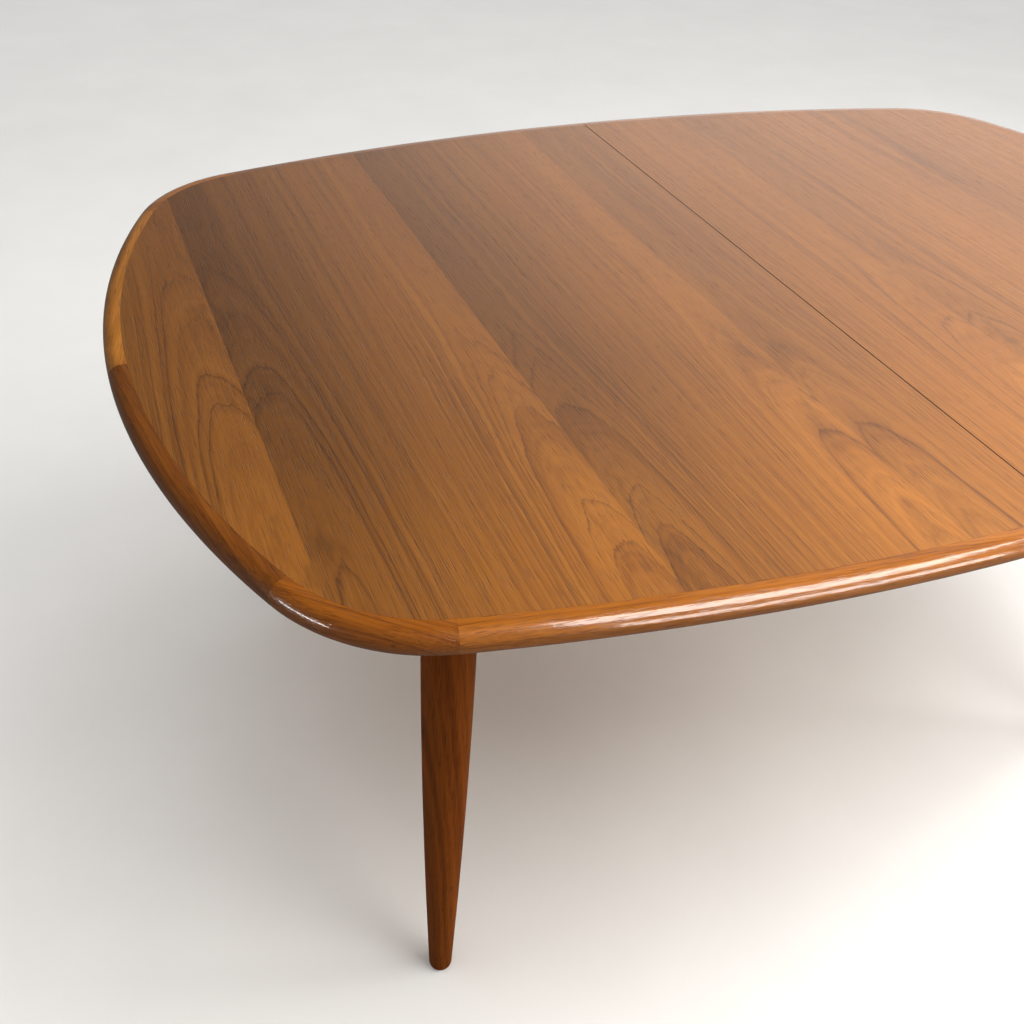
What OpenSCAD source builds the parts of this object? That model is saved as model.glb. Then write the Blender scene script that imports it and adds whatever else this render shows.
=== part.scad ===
// Extending dining table: a bowed oval top split in two at mid-length, on four turned legs.
// Each half carries its own legs and aprons, and the right half draws away from the left
// on two three-member wooden slides, so that a loose leaf can be dropped in between.
//
// Frame: origin on the floor under the middle of the closed table, +X along the table
// towards the half that moves, +Y towards the far side, +Z up. Millimetres.
// "near" is the -Y side, "far" is the +Y side, "left" is -X and "right" is +X.

/* [Top] */
// Length of the closed top
table_length = 1550; // [1520:5:1600]
// Width of the top
table_width = 1050; // [1020:5:1080]
// Height of the top above the floor
table_height = 725; // [700:5:760]
// How far each long side bows out over the full length
side_bow = 115.5; // [105:0.5:125]
// How far each end bows out over the full width
end_bow = 175; // [160:1:185]
// Radius of the corner between a side and an end
corner_radius = 178; // [165:1:190]
// Thickness of the veneered panel
panel_thickness = 21; // [19:0.5:22]
// Thickness of the face and back veneers
veneer_thickness = 0.8; // [0.6:0.1:1.2]
// Width of one leaf of face veneer
leaf_width = 136; // [120:1:150]
// Distance of the first veneer joint from the seam
first_leaf_joint = 23; // [10:1:60]
// Gap between the two closed halves
seam_gap = 0.2; // [0.2:0.1:1.0]

/* [Lipping] */
// Width of the solid edge lipping in plan
lip_width = 20; // [18:1:26]
// Radius of the upper part of the rounded edge
upper_round = 14; // [13:0.5:16]
// Radius of the lower part of the rounded edge
lower_round = 12; // [9:0.5:12.5]
// Width of the hardwood strip along the seam
seam_edging_width = 12; // [10:1:20]

/* [Legs] */
// Distance of the leg axes from the seam
leg_x = 538; // [525:1:545]
// Distance of the leg axes from the long centre line
leg_y = 350; // [335:1:355]
// Diameter of a leg at its thickest
leg_diameter = 52; // [48:1:56]
// Diameter of a leg at the foot
foot_diameter = 28; // [26:1:34]
// Height at which the taper starts
taper_height = 580; // [520:5:620]
// Height of the nylon glide under a foot
glide_height = 3; // [2:0.5:5]

/* [Aprons] */
// Depth of the aprons
apron_depth = 76; // [70:1:90]
// Thickness of the aprons
apron_thickness = 20; // [18:1:24]
// Distance of the flats on a leg from its axis
leg_flat = 18; // [17:0.5:20]

/* [Slides] */
// How far the right half draws out
slide_travel = 500; // [400:10:500]
// Distance of the slide centre lines from the long centre line
slide_y = 205; // [195:1:215]
// Length of each slide member
rail_length = 600; // [580:10:620]
// Height of each slide member
rail_height = 48; // [44:1:52]
// Thickness of the members fixed to the halves
rail_thickness = 30; // [28:1:32]
// Thickness of the middle member
middle_thickness = 26; // [24:1:28]

/* [Catches] */
// Distance of the catches from the long centre line
catch_y = 100; // [95:1:110]
// Distance of the catch pivot and the keeper from the seam
catch_reach = 35; // [30:1:40]

/* [Hidden] */
$fn = 64;

LEFT = -1;
RIGHT = 1;
NEAR = -1;
FAR = 1;

// Colours of the lacquered teak, the plain timbers and the metals
TEAK_FACE = "#a8703f";
TEAK_EDGE = "#9a5e2c";
TEAK_LEG = "#7c4324";
BEECH = "#d2ad7a";
BOARD = "#b99a70";
BRASS = "#b8963e";
STEEL = "#9a9da1";
NYLON = "#d9d4c6";

// Clearances: glued faces, a loose sliding fit, a running pin
glue_gap = 0.1;
pin_fit = 0.05;
slide_fit = 0.4;
// Through holes are cut this far past a face
over = 1;

// Plan of the top: a side arc, a corner arc and an end arc in each quarter
half_length = table_length / 2;
half_width = table_width / 2;
side_radius = (pow(half_length, 2) + pow(side_bow, 2)) / (2 * side_bow);
end_radius = (pow(half_width, 2) + pow(end_bow, 2)) / (2 * end_bow);
side_centre = [0, half_width - side_radius];
end_centre = [half_length - end_radius, 0];
// The corner arc touches the other two from inside, so its centre is where
// circles of the remaining radii about their centres cross
to_side = side_radius - corner_radius;
to_end = end_radius - corner_radius;
between = end_centre - side_centre;
spacing = norm(between);
along = (to_side * to_side - to_end * to_end + spacing * spacing) / (2 * spacing);
across = sqrt(to_side * to_side - along * along);
corner_centre = side_centre + (along * between + across * [between.y, -between.x]) / spacing;
side_angle = atan2(corner_centre.y - side_centre.y, corner_centre.x - side_centre.x);
end_angle = atan2(corner_centre.y - end_centre.y, corner_centre.x - end_centre.x);
arc_steps = 16;

// Heights
face_z = table_height;
core_top = face_z - veneer_thickness;
underside = face_z - panel_thickness;
core_bottom = underside + veneer_thickness;
lip_depth = upper_round + lower_round;
apron_bottom = underside - apron_depth;
half_seam = seam_gap / 2;

// Legs
leg_radius = leg_diameter / 2;
foot_radius = foot_diameter / 2;
taper_power = 1.65;
taper_steps = 22;
foot_round = 3;
glide_radius = 10;
glide_pin_radius = 1.5;
glide_pin_length = 16;

// Corner blocks are diagonal bands between the aprons
apron_inner_x = leg_x - apron_thickness / 2;
apron_inner_y = leg_y - apron_thickness / 2;
block_near_leg = 50;
block_far_leg = 80;
block_height = 66;
bolt_radius = 4;
bolt_hole_radius = 4.5;
bolt_drops = [20, 52];
bolt_in_leg = 12;
nut_height = 8;
nut_across = 13;
flange_radius = 9;
flange_height = 2;

// Wood screws: shank, head and counterbored seat. Those through a corner block
// reach screw_bite into the apron
screw_radius = 2;
screw_head_radius = 4;
screw_head_height = 2.6;
screw_length = 28;
screw_bite = 17;
rail_screw_radius = 2.5;
rail_screw_head_radius = 4.6;
rail_screw_length = 36;
seat_radius_gap = 0.4;

glue_block_size = 20;
glue_block_length = 50;
side_block_places = [120, 300];
end_block_place = 150;

// Slides: section measured from the slide's own centre line
packer_height = 3;
rail_top = underside - packer_height;
rail_mid = rail_top - rail_height / 2;
member_gap = 2;
inner_face = middle_thickness / 2 + member_gap;
outer_face = inner_face + rail_thickness;
tongue_reach = 9;
tongue_root = 7;
tongue_tip = 11;
stage_travel = slide_travel / 2;
rail_overhang = 130;
pin_radius = 3;
pin_from_end = 20;
pin_length = 4;
pin_seat = 10;
slot_depth = 5;
rail_screw_places = [-450, -340, -230, -60];
rail_screw_offset = inner_face + 22;
rail_seat_depth = 24;
packer_end_gap = 20;

// Dowels and catches
dowel_radius = 5;
dowel_fit = 0.1;
dowel_glued = 26;
dowel_proud = 16;
dowel_places = [-390, -130, 130, 390];
dowel_z = (core_top + core_bottom) / 2;
catch_gap = 1.5;
catch_thickness = 2.5;
catch_width = 18;
catch_shank = 2.5;
catch_head_radius = 5.5;
catch_head_height = 2.5;
catch_screw_length = 14;
catch_tip = 12;
notch_fit = 0.5;
catch_z = underside - catch_gap - catch_thickness;

function arc_points(centre, radius, from, to) =
    [for (i = [0 : arc_steps]) let (a = from + (to - from) * i / arc_steps)
        centre + radius * [cos(a), sin(a)]];

// One quarter of the top's outline, inset by a margin and cut off at x = start
function quarter_outline(inset, start) = concat(
    arc_points(side_centre, side_radius - inset, acos(start / (side_radius - inset)), side_angle),
    arc_points(corner_centre, corner_radius - inset, side_angle, end_angle),
    arc_points(end_centre, end_radius - inset, end_angle, 0)
);

function mirrored_back(points) =
    [for (i = [len(points) - 2 : -1 : 0]) [points[i].x, -points[i].y]];

function unique(points) =
    [for (i = [0 : len(points) - 1]) if (i == 0 || norm(points[i] - points[i - 1]) > 0.01) points[i]];

function half_outline(inset, start) =
    let (quarter = unique(quarter_outline(inset, start)))
    concat(quarter, mirrored_back(quarter));

// Radius of a leg at a height: straight at the top, then a swelling taper to the foot
function leg_radius_at(z) = z > taper_height ? leg_radius
    : leg_radius - (leg_radius - foot_radius)
        * pow((taper_height - z) / (taper_height - glide_height), taper_power);

// Angle that a length covers on an arc
function arc_angle(length, radius) = length / radius * 180 / PI;

// Places what is drawn for the right half on either half
module on_half(side) {
    mirror([side == LEFT ? 1 : 0, 0, 0])
        children();
}

// Places what is drawn for the far side on either side
module on_side(end) {
    mirror([0, end == NEAR ? 1 : 0, 0])
        children();
}

module both_sides() {
    on_side(NEAR)
        children();
    on_side(FAR)
        children();
}

// A wood screw that points along +Z, with the top of its head at z = 0
module wood_screw(radius, head_radius, length) {
    cylinder(r = head_radius, h = screw_head_height);
    cylinder(r = radius, h = length);
}

// The hole for that screw, with a seat that is open behind the head
module screw_hole(radius, head_radius, length, seat) {
    translate([0, 0, -seat])
        cylinder(r = head_radius + seat_radius_gap, h = seat + screw_head_height + pin_fit);
    cylinder(r = radius + pin_fit, h = length + pin_fit);
}

// Panel: field inside the lipping, from x = start to the end
module field(start, z, thickness) {
    translate([0, 0, z])
        linear_extrude(thickness)
            polygon(half_outline(lip_width + glue_gap, start));
}

module dowel_holes(radius, depth) {
    for (y = dowel_places)
        translate([0, y, dowel_z])
            rotate([0, 90, 0])
                cylinder(r = radius, h = depth);
}

// Everything that is screwed up into the underside of a half
module underside_screw_holes(side) {
    glue_block_screw_places()
        screw_hole(screw_radius, screw_head_radius, screw_length, 0);
    both_sides()
        rail_screw_places(side)
            screw_hole(rail_screw_radius, rail_screw_head_radius, rail_screw_length, 0);
    both_sides()
        catch_screw_place()
            cylinder(r = catch_shank + pin_fit, h = catch_screw_length + pin_fit);
}

module core_board(side) {
    color(BOARD)
        on_half(side)
            difference() {
                field(half_seam + seam_edging_width + glue_gap, core_bottom, core_top - core_bottom);
                if (side == LEFT)
                    dowel_holes(dowel_radius + pin_fit, dowel_glued + over);
                if (side == RIGHT)
                    dowel_holes(dowel_radius + dowel_fit, dowel_proud + over);
                underside_screw_holes(side);
            }
}

module seam_edging(side) {
    color(TEAK_EDGE)
        on_half(side)
            difference() {
                intersection() {
                    field(half_seam, core_bottom, core_top - core_bottom);
                    translate([0, -half_width, core_bottom])
                        cube([half_seam + seam_edging_width, table_width, core_top - core_bottom]);
                }
                dowel_holes(dowel_radius + (side == LEFT ? pin_fit : dowel_fit), dowel_glued);
            }
}

// Face veneer: leaves laid side by side across the half, with a joint every leaf width
module face_veneer(side) {
    first = side == RIGHT ? first_leaf_joint - leaf_width : -first_leaf_joint;
    color(TEAK_FACE)
        on_half(side)
            for (i = [0 : ceil(half_length / leaf_width)])
                translate([0, 0, core_top])
                    linear_extrude(veneer_thickness)
                        intersection() {
                            polygon(half_outline(lip_width + glue_gap, half_seam));
                            translate([first + i * leaf_width + glue_gap / 2, -half_width])
                                square([leaf_width - glue_gap, table_width]);
                        }
}

module back_veneer(side) {
    color(BEECH)
        on_half(side)
            difference() {
                field(half_seam, underside, veneer_thickness);
                underside_screw_holes(side);
            }
}

// Section of the lipping at a radius: flat on top, then a large round over a smaller one
module lipping_section(radius) {
    translate([radius - lip_width, -lip_depth])
        square([lip_width - upper_round, lip_depth]);
    translate([radius - upper_round, -lip_depth])
        square([upper_round - lower_round, lower_round]);
    intersection() {
        translate([radius - upper_round, -upper_round])
            circle(upper_round);
        translate([radius - upper_round, -upper_round])
            square(upper_round);
    }
    intersection() {
        translate([radius - lower_round, -upper_round])
            circle(lower_round);
        translate([radius - lower_round, -lip_depth])
            square(lower_round);
    }
}

// One bent length of lipping, between two angles, drawn for the far right quarter
module lipping_arc(centre, radius, from, to) {
    trim = arc_angle(glue_gap / 2, radius);
    translate([centre.x, centre.y, face_z])
        rotate([0, 0, from + trim])
            rotate_extrude(angle = to - from - 2 * trim, $fn = 720)
                lipping_section(radius);
}

module side_lipping(side, end) {
    color(TEAK_EDGE)
        on_half(side)
            on_side(end)
                lipping_arc(side_centre, side_radius, side_angle, 90 - arc_angle(half_seam, side_radius));
}

module corner_lipping(side, end) {
    color(TEAK_EDGE)
        on_half(side)
            on_side(end)
                lipping_arc(corner_centre, corner_radius, end_angle, side_angle);
}

module end_lipping(side, end) {
    color(TEAK_EDGE)
        on_half(side)
            on_side(end)
                lipping_arc(end_centre, end_radius, 0, end_angle);
}

module side_apron(side, end) {
    color(TEAK_LEG)
        on_half(side)
            on_side(end)
                difference() {
                    translate([half_seam, apron_inner_y, apron_bottom])
                        cube([leg_x - leg_flat - half_seam, apron_thickness, apron_depth]);
                    block_screw_places_on_side()
                        screw_hole(screw_radius, screw_head_radius, screw_length, 0);
                }
}

module end_apron(side) {
    color(TEAK_LEG)
        on_half(side)
            difference() {
                translate([apron_inner_x, leg_flat - leg_y, apron_bottom])
                    cube([apron_thickness, 2 * (leg_y - leg_flat), apron_depth]);
                both_sides()
                    block_screw_places_on_end()
                        screw_hole(screw_radius, screw_head_radius, screw_length, 0);
            }
}

// Turned leg with two flats for the aprons and holes for the hanger bolts
module leg(side, end) {
    turned_height = underside - glide_height;
    color(TEAK_LEG)
        on_half(side)
            on_side(end)
                difference() {
                    translate([leg_x, leg_y, 0])
                        rotate_extrude($fn = 96)
                            polygon(concat(
                                [[0, glide_height]],
                                [[leg_radius_at(glide_height) - foot_round, glide_height]],
                                [for (i = [0 : taper_steps]) let (z = i == 0
                                    ? glide_height + foot_round
                                    : glide_height + i * (taper_height - glide_height) / taper_steps)
                                    [leg_radius_at(z), z]],
                                [[leg_radius, underside], [0, underside]]
                            ));
                    translate([leg_x - leg_flat - leg_radius, leg_y - leg_diameter, apron_bottom])
                        cube([leg_radius, 2 * leg_diameter, turned_height]);
                    translate([leg_x - leg_diameter, leg_y - leg_flat - leg_radius, apron_bottom])
                        cube([2 * leg_diameter, leg_radius, turned_height]);
                    leg_bolt_places()
                        translate([0, 0, -bolt_in_leg - pin_fit])
                            cylinder(r = bolt_radius + pin_fit, h = leg_diameter);
                    translate([leg_x, leg_y, 0])
                        cylinder(r = glide_pin_radius + pin_fit, h = glide_height + glide_pin_length + pin_fit);
                }
}

// Nylon glide with a nail, one under each foot
module foot_glides(side) {
    color(NYLON)
        on_half(side)
            both_sides()
                translate([leg_x, leg_y, 0]) {
                    cylinder(r1 = glide_radius - 1, r2 = glide_radius, h = 1);
                    translate([0, 0, 1])
                        cylinder(r = glide_radius, h = glide_height - 1);
                    cylinder(r = glide_pin_radius, h = glide_height + glide_pin_length);
                }
}

// Local +Z runs from the leg axis along the diagonal towards the middle of the half
module leg_bolt_places() {
    for (drop = bolt_drops)
        translate([leg_x, leg_y, underside - drop])
            rotate([0, 90, 225])
                children();
}

module leg_bolts(side) {
    length = bolt_in_leg + block_inner_face() + nut_height + 6;
    color(STEEL)
        on_half(side)
            both_sides()
                leg_bolt_places()
                    translate([0, 0, -bolt_in_leg])
                        cylinder(r = bolt_radius, h = length);
}

// Distances of a corner block's faces from the leg axis, along the diagonal
function block_outer_face() = (2 * (apron_thickness / 2) + block_near_leg) / sqrt(2);
function block_inner_face() = (2 * (apron_thickness / 2) + block_far_leg) / sqrt(2);

module leg_nuts(side) {
    color(STEEL)
        on_half(side)
            both_sides()
                leg_bolt_places()
                    translate([0, 0, block_inner_face()])
                        difference() {
                            union() {
                                cylinder(r = flange_radius, h = flange_height);
                                cylinder(r = nut_across / sqrt(3), h = nut_height, $fn = 6);
                            }
                            translate([0, 0, -over])
                                cylinder(r = bolt_radius + pin_fit, h = nut_height + 2 * over);
                        }
}

// Screws through a corner block: along +Y into the side apron, along +X into the end apron
module block_screw_places_on_side() {
    for (drop = bolt_drops)
        translate([apron_inner_x - (block_near_leg + block_far_leg) / 2,
                apron_inner_y + screw_bite - screw_length, underside - drop])
            rotate([-90, 0, 0])
                children();
}

module block_screw_places_on_end() {
    for (drop = bolt_drops)
        translate([apron_inner_x + screw_bite - screw_length,
                apron_inner_y - (block_near_leg + block_far_leg) / 2, underside - drop])
            rotate([0, 90, 0])
                children();
}

module corner_blocks(side) {
    color(BEECH)
        on_half(side)
            both_sides()
                difference() {
                    translate([apron_inner_x, apron_inner_y, underside - block_height])
                        linear_extrude(block_height)
                            polygon([[0, -block_near_leg], [0, -block_far_leg],
                                [-block_far_leg, 0], [-block_near_leg, 0]]);
                    leg_bolt_places()
                        cylinder(r = bolt_hole_radius, h = block_inner_face() + over);
                    block_screw_places_on_side()
                        screw_hole(screw_radius, screw_head_radius, screw_length, screw_length);
                    block_screw_places_on_end()
                        screw_hole(screw_radius, screw_head_radius, screw_length, screw_length);
                }
}

// Glue blocks stiffen the corner between an apron and the panel
module glue_block_spots() {
    both_sides()
        for (x = side_block_places)
            translate([x, apron_inner_y - glue_block_size, underside - glue_block_size])
                children();
    both_sides()
        translate([apron_inner_x - glue_block_size, end_block_place, underside - glue_block_size])
            mirror([1, -1, 0])
                children();
}

module glue_block_screw_places() {
    glue_block_spots()
        translate([glue_block_length / 2, glue_block_size / 2, glue_block_size / 4])
            children();
}

module glue_blocks(side) {
    color(BEECH)
        on_half(side)
            difference() {
                glue_block_spots()
                    cube([glue_block_length, glue_block_size, glue_block_size]);
                glue_block_screw_places()
                    screw_hole(screw_radius, screw_head_radius, screw_length, glue_block_size);
            }
}

module frame_screws(side) {
    color(STEEL)
        on_half(side) {
            glue_block_screw_places()
                wood_screw(screw_radius, screw_head_radius, screw_length);
            both_sides() {
                block_screw_places_on_side()
                    wood_screw(screw_radius, screw_head_radius, screw_length);
                block_screw_places_on_end()
                    wood_screw(screw_radius, screw_head_radius, screw_length);
            }
        }
}

// The left half's members run outside the middle one, the right half's run inside it.
// This draws for the outer place and turns the section over for the inner one.
module in_slide(side) {
    translate([0, slide_y, rail_mid])
        mirror([0, side == RIGHT ? 1 : 0, 0])
            children();
}

// Extrudes a section drawn in Y and Z along X
module along_x(from, to) {
    translate([from, 0, 0])
        rotate([90, 0, 90])
            linear_extrude(to - from)
                children();
}

// Outline of a dovetail tongue, or with a clearance the groove that it runs in
function tongue_points(clearance) = [
    [middle_thickness / 2, -tongue_root - clearance],
    [inner_face, -tongue_root - clearance],
    [inner_face + tongue_reach + clearance, -tongue_tip - clearance],
    [inner_face + tongue_reach + clearance, tongue_tip + clearance],
    [inner_face, tongue_root + clearance],
    [middle_thickness / 2, tongue_root + clearance]
];

// Section of the middle member: a bar with a tongue on each face
module middle_section() {
    half = concat(
        [[middle_thickness / 2, -rail_height / 2]],
        tongue_points(0),
        [[middle_thickness / 2, rail_height / 2]]
    );
    polygon(concat(half, -half));
}

module slide_rail(side, end) {
    tongue_end = inner_face + tongue_reach;
    pin_rest = rail_length / 2 - pin_from_end;
    color(BEECH)
        on_half(side)
            on_side(end)
                difference() {
                    in_slide(side)
                        difference() {
                            along_x(-rail_overhang, rail_length - rail_overhang)
                                translate([inner_face, -rail_height / 2])
                                    square([rail_thickness, rail_height]);
                            along_x(-rail_overhang - over, rail_length)
                                polygon(tongue_points(slide_fit));
                            slot_along(pin_rest - stage_travel, pin_rest, tongue_end);
                        }
                    rail_screw_places(side)
                        screw_hole(rail_screw_radius, rail_screw_head_radius, rail_screw_length, rail_height);
                }
}

// Slot in the floor of the groove, in which the stop pin runs
module slot_along(from, to, floor_y) {
    width = 2 * (pin_radius + slide_fit);
    translate([from, floor_y, -width / 2])
        cube([to - from, slot_depth, width]);
    for (x = [from, to])
        translate([x, floor_y, 0])
            rotate([-90, 0, 0])
                cylinder(d = width, h = slot_depth);
}

module rail_screw_places(side) {
    for (x = rail_screw_places)
        translate([-x, 0, -rail_height / 2 + rail_seat_depth])
            in_slide(side)
                translate([0, rail_screw_offset, 0])
                    children();
}

module slide_packers(side) {
    color(BEECH)
        on_half(side)
            both_sides()
                difference() {
                    translate([0, 0, (rail_height + packer_height) / 2])
                        in_slide(side)
                            translate([packer_end_gap, inner_face, -packer_height / 2])
                                cube([rail_length - rail_overhang - packer_end_gap,
                                    rail_thickness, packer_height]);
                    rail_screw_places(side)
                        cylinder(r = rail_screw_radius + pin_fit, h = rail_screw_length);
                }
}

module slide_screws(side) {
    color(STEEL)
        on_half(side)
            both_sides()
                rail_screw_places(side)
                    wood_screw(rail_screw_radius, rail_screw_head_radius, rail_screw_length);
}

// Middle member, with a tongue on each face that runs in the two outer members
module middle_rail(end) {
    color(BEECH)
        on_side(end)
            translate([0, slide_y, rail_mid])
                difference() {
                    along_x(-rail_length / 2, rail_length / 2)
                        middle_section();
                    stop_pin_places()
                        translate([0, 0, -pin_seat - pin_fit])
                            cylinder(r = pin_radius + pin_fit, h = pin_seat + over);
                }
}

// Local +Z points out of a tongue, with z = 0 at its tip
module stop_pin_places() {
    tip = inner_face + tongue_reach;
    reach = rail_length / 2 - pin_from_end;
    translate([-reach, tip, 0])
        rotate([-90, 0, 0])
            children();
    translate([reach, -tip, 0])
        rotate([90, 0, 0])
            children();
}

module stop_pins(end) {
    color(STEEL)
        on_side(end)
            translate([0, slide_y, rail_mid])
                stop_pin_places()
                    translate([0, 0, -pin_seat])
                        cylinder(r = pin_radius, h = pin_seat + pin_length);
}

// Beech dowels glued into the left half, which line the halves up as they close
module seam_dowels() {
    color(BEECH)
        for (y = dowel_places)
            translate([-dowel_glued, y, dowel_z])
                rotate([0, 90, 0])
                    cylinder(r = dowel_radius, h = dowel_glued + dowel_proud - over);
}

// The pivot on the left half and the keeper on the right half stand at the same distance
module catch_screw_place() {
    translate([catch_reach, catch_y, underside])
        children();
}

module catch_screws() {
    head_drop = catch_gap + catch_thickness + slide_fit;
    both_sides()
        catch_screw_place()
            translate([0, 0, -head_drop]) {
                translate([0, 0, -catch_head_height])
                    cylinder(r = catch_head_radius, h = catch_head_height);
                cylinder(r = catch_shank, h = head_drop + catch_screw_length);
            }
}

module catch_pivot_screws() {
    color(BRASS)
        on_half(LEFT)
            catch_screws();
}

module catch_keeper_screws() {
    color(BRASS)
        on_half(RIGHT)
            catch_screws();
}

// Flat lever that turns about its screw. It lies across the table at rest, pointing at the
// centre line, and a quarter turn brings its notch round the keeper.
module catch_lever(end) {
    reach = 2 * catch_reach;
    color(BRASS)
        on_side(end)
            translate([-catch_reach, catch_y, catch_z])
                rotate([0, 0, -90])
                    difference() {
                        union() {
                            cylinder(d = catch_width, h = catch_thickness);
                            translate([0, -catch_width / 2, 0])
                                cube([reach + catch_tip, catch_width, catch_thickness]);
                        }
                        translate([0, 0, -over])
                            cylinder(r = catch_shank + pin_fit, h = catch_thickness + 2 * over);
                        catch_notch(reach);
                    }
}

// Notch that follows the keeper's path from the leading edge of the lever to its middle
module catch_notch(reach) {
    half = catch_shank + notch_fit;
    translate([0, 0, -over])
        rotate_extrude(angle = 20)
            translate([reach - half, 0])
                square([2 * half, catch_thickness + 2 * over]);
    translate([reach, 0, -over])
        cylinder(r = half, h = catch_thickness + 2 * over);
}

core_board(LEFT);  // left_core_board
face_veneer(LEFT);  // left_face_veneer
back_veneer(LEFT);  // left_back_veneer
seam_edging(LEFT);  // left_seam_edging
side_lipping(LEFT, NEAR);  // left_near_side_lipping
side_lipping(LEFT, FAR);  // left_far_side_lipping
corner_lipping(LEFT, NEAR);  // left_near_corner_lipping
corner_lipping(LEFT, FAR);  // left_far_corner_lipping
end_lipping(LEFT, NEAR);  // left_near_end_lipping
end_lipping(LEFT, FAR);  // left_far_end_lipping
side_apron(LEFT, NEAR);  // left_near_side_apron
side_apron(LEFT, FAR);  // left_far_side_apron
end_apron(LEFT);  // left_end_apron
leg(LEFT, NEAR);  // left_near_leg
leg(LEFT, FAR);  // left_far_leg
foot_glides(LEFT);  // left_foot_glides
corner_blocks(LEFT);  // left_corner_blocks
leg_bolts(LEFT);  // left_leg_bolts
leg_nuts(LEFT);  // left_leg_nuts
glue_blocks(LEFT);  // left_glue_blocks
frame_screws(LEFT);  // left_frame_screws
slide_rail(LEFT, NEAR);  // left_near_slide_rail
slide_rail(LEFT, FAR);  // left_far_slide_rail
slide_packers(LEFT);  // left_slide_packers
slide_screws(LEFT);  // left_slide_screws
core_board(RIGHT);  // right_core_board
face_veneer(RIGHT);  // right_face_veneer
back_veneer(RIGHT);  // right_back_veneer
seam_edging(RIGHT);  // right_seam_edging
side_lipping(RIGHT, NEAR);  // right_near_side_lipping
side_lipping(RIGHT, FAR);  // right_far_side_lipping
corner_lipping(RIGHT, NEAR);  // right_near_corner_lipping
corner_lipping(RIGHT, FAR);  // right_far_corner_lipping
end_lipping(RIGHT, NEAR);  // right_near_end_lipping
end_lipping(RIGHT, FAR);  // right_far_end_lipping
side_apron(RIGHT, NEAR);  // right_near_side_apron
side_apron(RIGHT, FAR);  // right_far_side_apron
end_apron(RIGHT);  // right_end_apron
leg(RIGHT, NEAR);  // right_near_leg
leg(RIGHT, FAR);  // right_far_leg
foot_glides(RIGHT);  // right_foot_glides
corner_blocks(RIGHT);  // right_corner_blocks
leg_bolts(RIGHT);  // right_leg_bolts
leg_nuts(RIGHT);  // right_leg_nuts
glue_blocks(RIGHT);  // right_glue_blocks
frame_screws(RIGHT);  // right_frame_screws
slide_rail(RIGHT, NEAR);  // right_near_slide_rail
slide_rail(RIGHT, FAR);  // right_far_slide_rail
slide_packers(RIGHT);  // right_slide_packers
slide_screws(RIGHT);  // right_slide_screws
middle_rail(NEAR);  // near_middle_rail
middle_rail(FAR);  // far_middle_rail
stop_pins(NEAR);  // near_stop_pins
stop_pins(FAR);  // far_stop_pins
seam_dowels();
catch_lever(NEAR);  // near_catch_lever
catch_lever(FAR);  // far_catch_lever
catch_pivot_screws();
catch_keeper_screws();
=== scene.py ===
"""Looks of an extending dining table with a teak veneered top: finer meshes for the lipping, the
veneer and the legs, broken edges on the frame, procedural wood, lacquer and metal, and a plain
studio with the camera at the photo's view."""
import math

import bmesh
import bpy
from mathutils import Matrix, Vector


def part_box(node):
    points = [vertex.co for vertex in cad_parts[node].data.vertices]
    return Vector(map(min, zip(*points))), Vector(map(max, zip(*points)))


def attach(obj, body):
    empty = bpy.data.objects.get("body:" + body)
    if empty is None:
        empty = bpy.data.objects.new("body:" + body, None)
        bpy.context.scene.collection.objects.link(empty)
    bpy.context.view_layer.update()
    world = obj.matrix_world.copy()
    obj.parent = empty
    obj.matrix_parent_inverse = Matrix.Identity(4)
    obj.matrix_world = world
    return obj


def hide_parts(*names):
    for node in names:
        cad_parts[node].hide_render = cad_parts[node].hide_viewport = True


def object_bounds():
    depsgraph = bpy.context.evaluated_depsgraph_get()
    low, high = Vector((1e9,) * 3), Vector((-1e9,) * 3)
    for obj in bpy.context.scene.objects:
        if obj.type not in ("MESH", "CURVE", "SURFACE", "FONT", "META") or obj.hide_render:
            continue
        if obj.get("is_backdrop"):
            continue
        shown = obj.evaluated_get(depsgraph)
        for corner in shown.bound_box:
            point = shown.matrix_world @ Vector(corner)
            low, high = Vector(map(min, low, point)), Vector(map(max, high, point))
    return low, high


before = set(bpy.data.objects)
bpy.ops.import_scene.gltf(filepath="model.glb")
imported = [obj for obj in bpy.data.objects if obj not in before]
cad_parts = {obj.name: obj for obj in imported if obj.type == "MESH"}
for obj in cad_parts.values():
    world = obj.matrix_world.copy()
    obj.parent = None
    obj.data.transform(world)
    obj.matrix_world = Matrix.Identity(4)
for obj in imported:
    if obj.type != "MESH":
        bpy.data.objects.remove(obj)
cad_low, cad_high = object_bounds()

LEFT, RIGHT = -1, 1
NEAR, FAR = -1, 1
SIDES = {"left": LEFT, "right": RIGHT}
ENDS = {"near": NEAR, "far": FAR}

# ---------------------------------------------------------------- plan of the top, in metres
HALF_LENGTH = cad_high.x
HALF_WIDTH = cad_high.y
TOP_Z = cad_high.z
SIDE_BOW = 0.1155
END_BOW = 0.175
CORNER_RADIUS = 0.178
LIP_WIDTH = 0.020
UPPER_ROUND = 0.014
LOWER_ROUND = 0.012
GLUE_LINE = 0.0001
SEAM_EASE = 0.0006
veneer_low, veneer_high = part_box("left_face_veneer")
VENEER = veneer_high.z - veneer_low.z
HALF_SEAM = -veneer_high.x
# Width of a veneer leaf, and the place along X of the first joint between two leaves
LEAF_WIDTH = 0.136
FIRST_JOINT = 0.023


def bow_radius(half_chord, bow):
    """Radius of the arc that rises by bow over twice half_chord."""
    return (half_chord ** 2 + bow ** 2) / (2 * bow)


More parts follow.
